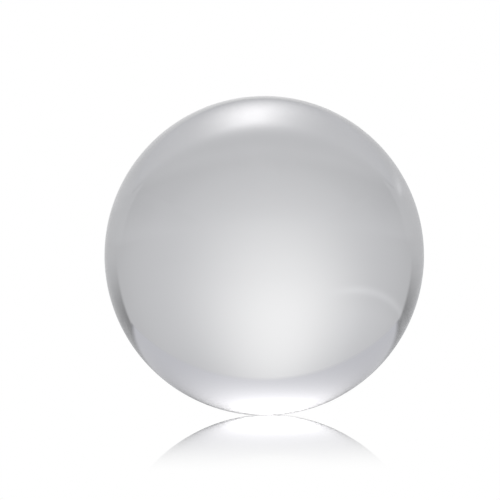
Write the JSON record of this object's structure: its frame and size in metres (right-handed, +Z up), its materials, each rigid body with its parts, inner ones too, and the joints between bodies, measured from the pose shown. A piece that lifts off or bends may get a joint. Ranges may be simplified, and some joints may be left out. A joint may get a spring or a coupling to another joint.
{
  "type": "paperweight",
  "caption": "Clear solid glass ball paperweight that stands on a small polished flat under it.",
  "frame": {"origin": "centre of the small polished flat under the ball, on the surface the ball stands on", "axes": "+Z up through the ball's centre; the ball is the same all round Z, and the side that was pictured faces -Y, with +X to the right of it"},
  "size_m": [0.08, 0.08, 0.0799],
  "materials": {
    "optical_glass": "clear optical crown glass, polished all over"
  },
  "bodies": {
    "root": {"glass_ball": "optical_glass"}
  },
  "joints": []
}
